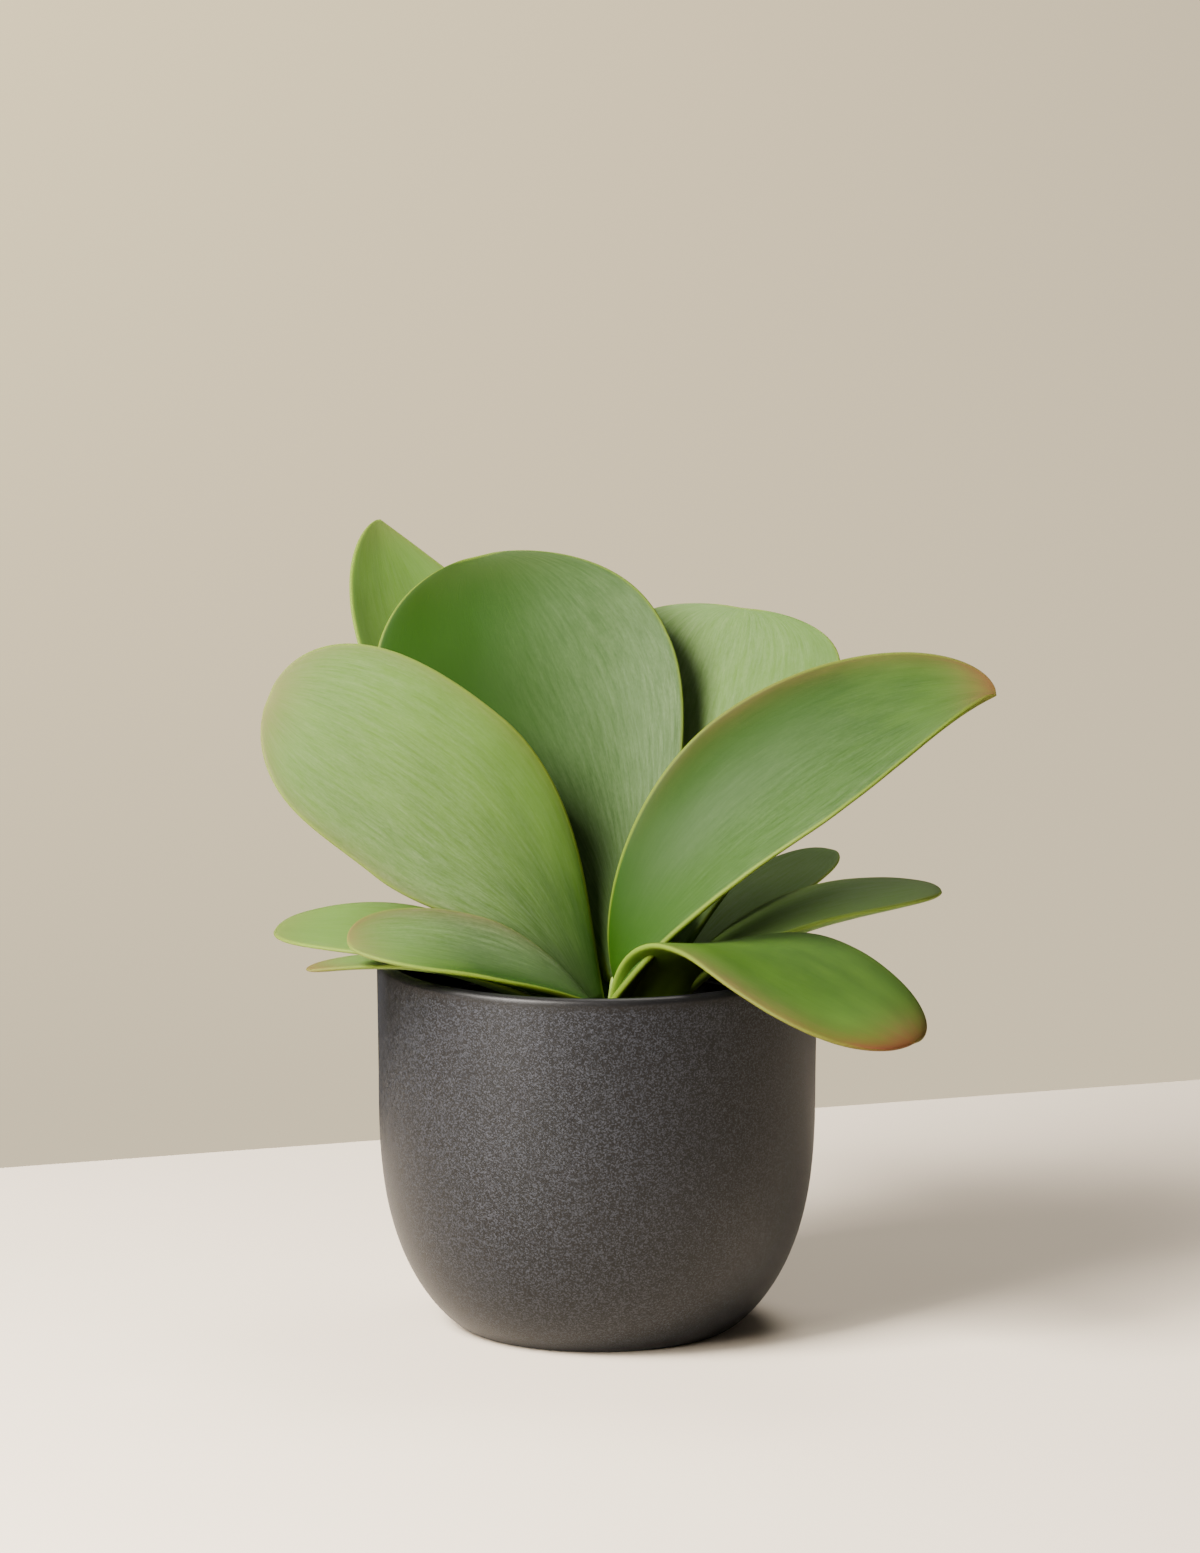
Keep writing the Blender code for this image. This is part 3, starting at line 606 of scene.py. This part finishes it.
def middle_line(leaf, steps=200):
    """Points and directions along the leaf's middle line, each point's share, and the length."""
    foot = np.array([STEM_X, STEM_Y, leaf["low"]]) + leaf["out"] * direction(leaf["turn"], 0)
    tip = np.array(leaf["tip"], float)
    chord = tip - foot
    reach = np.linalg.norm(chord)
    heading = math.degrees(math.atan2(chord[1], chord[0]))
    hold = leaf.get("hold", (0.35, 0.35))
    second = foot + hold[0] * reach * direction(leaf["leave"], leaf["rise"][0])
    third = tip - hold[1] * reach * direction(heading, leaf["rise"][1])
    t = np.linspace(0, 1, steps)[:, None]
    points = (1 - t) ** 3 * foot + 3 * (1 - t) ** 2 * t * second + 3 * (1 - t) * t ** 2 * third + t ** 3 * tip
    slopes = (1 - t) ** 2 * (second - foot) + 2 * (1 - t) * t * (third - second) + t ** 2 * (tip - third)
    slopes /= np.linalg.norm(slopes, axis=1, keepdims=True)
    lengths = np.concatenate([[0], np.cumsum(np.linalg.norm(np.diff(points, axis=0), axis=1))])
    return points, slopes, lengths / lengths[-1], lengths[-1]


def half_width(leaf, share, point):
    """Half width of the blade at a share of its length: swells from the stalk, then closes to the tip."""
    narrow = leaf["stalk"] / leaf["width"]
    if share < leaf["widest"]:
        grown = share / leaf["widest"]
        swell = 0.75 * (3 * grown ** 2 - 2 * grown ** 3) + 0.25 * grown * (2 - grown)
        return leaf["width"] / 2 * (narrow + (1 - narrow) * swell)
    past = min((share - leaf["widest"]) / (1 - leaf["widest"]), 1.0)
    return leaf["width"] / 2 * (1 - past ** leaf["blunt"]) ** point


def leaf_stations(leaf):
    """Shares of the length where the leaf is cut, closer together towards the rounded tip."""
    along_stalk = LEAF_RINGS // 2
    closing = LEAF_RINGS - along_stalk
    shares = [leaf["widest"] * step / along_stalk for step in range(along_stalk)]
    for step in range(closing):
        past = math.sin(math.pi / 2 * step / (closing - 1))
        shares.append(leaf["widest"] + (0.9985 - leaf["widest"]) * past)
    return shares


def blade_directions(leaf, share, slope):
    """Unit vectors across the blade, to its left, and out of its upper face."""
    across = np.cross((0, 0, 1), slope)
    across /= np.linalg.norm(across)
    upward = np.cross(slope, across)
    roll = math.radians(along(leaf.get("roll", (0, 0, 0)), share))
    side = across * math.cos(roll) + upward * math.sin(roll)
    face = upward * math.cos(roll) - across * math.sin(roll)
    return side, face


def blade_thickness(leaf, share):
    """Thickness at a share of the length, closing to a thin edge at the very tip."""
    closing = max((share - TIP_START) / (1 - TIP_START), 0.0)
    thickness = leaf.get("thick", 4.0) * (FOOT_THICKENING - TIP_THINNING * share)
    return thickness * math.sqrt(max(1 - closing ** 2.5, 0.02))


def redness(leaf, share, left_share, from_margin, from_tip):
    """How red the skin is: round the tip, and along the margins once past the stalk."""
    at_tip = leaf["blush"][2] * math.exp(-(from_tip / RED_TIP) ** 2)
    at_side = leaf["blush"][1] + (leaf["blush"][0] - leaf["blush"][1]) * left_share
    reach_in = math.exp(-(from_margin / (2.2 + 5 * at_side)) ** 1.4)
    past_stalk = min(max((share - 0.25) / 0.3, 0.0), 1.0)
    return min(at_tip + at_side * reach_in * past_stalk, 1.0)


def leaf_blade(name, leaf):
    """One leaf, skinned over rings of points, with what its skin needs stored on the points."""
    line, slopes, shares, length = middle_line(leaf)
    points, place, margin, tones_and_painted_light, blooms_and_painted_light, blushes = [], [], [], [], [], []
    sides = leaf.get("sides", (1, 1))
    closings = leaf.get("point", (0.5, 0.5))
    for share in leaf_stations(leaf):
        centre = np.array([np.interp(share, shares, line[:, axis]) for axis in range(3)])
        slope = np.array([np.interp(share, shares, slopes[:, axis]) for axis in range(3)])
        side, face = blade_directions(leaf, share, slope / np.linalg.norm(slope))
        cup = math.radians(along(leaf["cup"], share)) or 0.001
        halves = [half_width(leaf, share, point) * part for point, part in zip(closings, sides)]
        thickness = blade_thickness(leaf, share)
        # Tone and powder here carry painted light and shade as well as the leaf's own colour.
        tone_and_painted_light_here = along(leaf["tone_and_painted_light"], share)
        bloom_and_painted_light_left = along([pair[0] for pair in leaf["bloom_and_painted_light"]], share)
        bloom_and_painted_light_right = along([pair[1] for pair in leaf["bloom_and_painted_light"]], share)
        for step in range(LEAF_SIDES):
            turn = 2 * math.pi * step / LEAF_SIDES
            reach_share = math.cos(turn)
            left_share = 0.5 + 0.5 * reach_share
            lift = math.copysign(abs(math.sin(turn)) ** EDGE_FULLNESS, math.sin(turn))
            wide = halves[0 if reach_share >= 0 else 1]
            bend = cup * reach_share
            point = centre + side * wide / cup * math.sin(bend) + face * wide / cup * (1 - math.cos(bend))
            normal = face * math.cos(bend) - side * math.sin(bend)
            wave = noise.fractal(Vector(point / WAVE_LENGTH), 1.0, 2.0, 2) * SKIN_WAVE * min(share * 4, 1)
            points.append(point + normal * (thickness / 2 * lift + wave))
            from_tip = (1 - share) * length
            from_margin = min(wide * (1 - abs(reach_share)), from_tip * 0.9)
            margin.append(from_margin)
            shift = UNDERSIDE_SHIFT if lift < 0 else 0.0
            place.append((reach_share * leaf["width"] / 2, share * length, shift))
            tones_and_painted_light.append(tone_and_painted_light_here)
            blooms_and_painted_light.append(max(bloom_and_painted_light_right + (bloom_and_painted_light_left - bloom_and_painted_light_right) * left_share, 0.0))
            blushes.append(redness(leaf, share, left_share, from_margin, from_tip))
    last = (LEAF_RINGS - 1) * LEAF_SIDES
    faces = ring_faces(0, LEAF_RINGS, LEAF_SIDES)
    for first in (0, last):
        faces += cap_faces(len(points), first, LEAF_SIDES)
        points.append(np.mean(points[first:first + LEAF_SIDES], axis=0))
        for values in (margin, tones_and_painted_light, blooms_and_painted_light, blushes, place):
            values.append(values[first])
    blade = mesh_piece(f"{name}_blade", points, faces, leaf_skin)
    stored_values = {"margin_mm": margin, "tone_and_painted_light": tones_and_painted_light, "bloom_and_painted_light": blooms_and_painted_light, "blush": blushes}
    for attribute, values in stored_values.items():
        blade.data.attributes.new(attribute, "FLOAT", "POINT").data.foreach_set("value", values)
    stored = blade.data.attributes.new("leaf_mm", "FLOAT_VECTOR", "POINT")
    stored.data.foreach_set("vector", np.array(place, dtype=np.float32).ravel())
    return blade


for name, leaf in LEAVES.items():
    show(leaf_blade(name, leaf), "succulent_leaf", name)


# ---- table and room ----
# The plant stands on a pale plastered table top whose far edge runs slightly askew, in a soft warm grey room.
# It is one flat sheet, only there to catch the light and the shadow.
TABLE_TURN = 19.0              # of the far edge, in degrees
TABLE_BACK = 0.268             # distance of the far edge behind the plant, in metres

# Trowelled plaster: chalky off-white with a faint cloudiness.
pale_plaster, tree, shader = new_material("pale_plaster")
place = add(tree, "ShaderNodeTexCoord").outputs["Object"]
trowelled = add(tree, "ShaderNodeTexNoise", {"Vector": place, "Scale": 1 / (90 * MM), "Detail": 4.0})
plaster_colour = add(tree, "ShaderNodeMix", {
    0: trowelled.outputs["Fac"], 6: linear("#dccfbb"), 7: linear("#e2d5c2")}, data_type="RGBA")
tree.links.new(plaster_colour.outputs[2], shader.inputs["Base Color"])
shader.inputs["Roughness"].default_value = 0.85
mesh = bpy.data.meshes.new("table_top")
mesh.from_pydata([(-4, -5, 0), (4, -5, 0), (4, 0, 0), (-4, 0, 0)], [], [(0, 1, 2, 3)])
mesh.materials.append(pale_plaster)
table_top = bpy.data.objects.new("table_top", mesh)
table_turned = Matrix.Rotation(math.radians(TABLE_TURN), 4, "Z")
table_top.matrix_world = Matrix.Translation((0, TABLE_BACK, 0)) @ table_turned
bpy.context.scene.collection.objects.link(table_top)

# The room is a world background: warm grey, with painted shade that makes it a little darker to the right and
# low down, and a dim even fill.
room = bpy.data.worlds.new("warm_grey_room")
room.use_nodes = True
tree = room.node_tree
tree.nodes.clear()
heading = add(tree, "ShaderNodeSeparateXYZ", {"Vector": add(tree, "ShaderNodeTexCoord").outputs["Generated"]})
shade_to_right = add(tree, "ShaderNodeMapRange", {
    "Value": heading.outputs["X"], "From Min": -0.07, "From Max": 0.07})
shade_downward = add(tree, "ShaderNodeMapRange", {
    "Value": heading.outputs["Z"], "From Min": -0.09, "From Max": -0.21})
wall = add(tree, "ShaderNodeMix", {
    0: shade_to_right.outputs[0], 6: linear("#e9d6ab"), 7: linear("#c4b496")}, data_type="RGBA")
wall = add(tree, "ShaderNodeMix", {
    0: shade_downward.outputs[0], 6: wall.outputs[2], 7: linear("#c4b598")}, data_type="RGBA")
seen = add(tree, "ShaderNodeBackground", {"Color": wall.outputs[2], "Strength": 1.75})
fill = add(tree, "ShaderNodeBackground", {"Color": linear("#e9e2d8"), "Strength": 0.11})
ray = add(tree, "ShaderNodeLightPath")
either = add(tree, "ShaderNodeMixShader", {
    0: ray.outputs["Is Camera Ray"], 1: fill.outputs[0], 2: seen.outputs[0]})
add(tree, "ShaderNodeOutputWorld", {"Surface": either.outputs[0]})
bpy.context.scene.world = room


# ---- lights ----
# A large soft box in front on the left and above is the key light, and a lower one on the same side gives the
# pot its broad upright highlight. A weak one stands high behind on the right and lifts the far edges.
def soft_box(name, compass, rise, distance, size, power, colour):
    """Square area light that looks at the middle of the plant."""
    aim = Vector((0, 0, 0.11))
    data = bpy.data.lights.new(name, "AREA")
    data.shape = "SQUARE"
    data.size = size
    data.energy = power
    data.color = linear(colour)[:3]
    lamp = bpy.data.objects.new(name, data)
    lamp.location = aim + Vector(direction(compass, rise)) * distance
    lamp.rotation_euler = (aim - lamp.location).to_track_quat("-Z", "Y").to_euler()
    bpy.context.scene.collection.objects.link(lamp)


soft_box("key_box", 219, 42, 1.15, 0.5, 68.0, "#fff8f0")
soft_box("top_box", 70, 62, 1.6, 0.7, 18.0, "#fffaf4")
soft_box("low_box", 226, 12, 1.6, 0.5, 32.0, "#fff8f0")


# ---- camera ----
# It looks slightly down on the plant from the front, from 2.5 m, with a long lens, so that the lines of the
# pot stay nearly parallel.
CAMERA_TILT = 0.176            # in radians
camera_data = bpy.data.cameras.new("camera")
camera_data.lens = 203.7
camera_data.sensor_width = 36.0
camera = bpy.data.objects.new("camera", camera_data)
camera.location = (0.00085, -2.5, 0.606)
camera.rotation_euler = (math.pi / 2 - CAMERA_TILT, 0, 0)
bpy.context.scene.collection.objects.link(camera)
bpy.context.scene.camera = camera
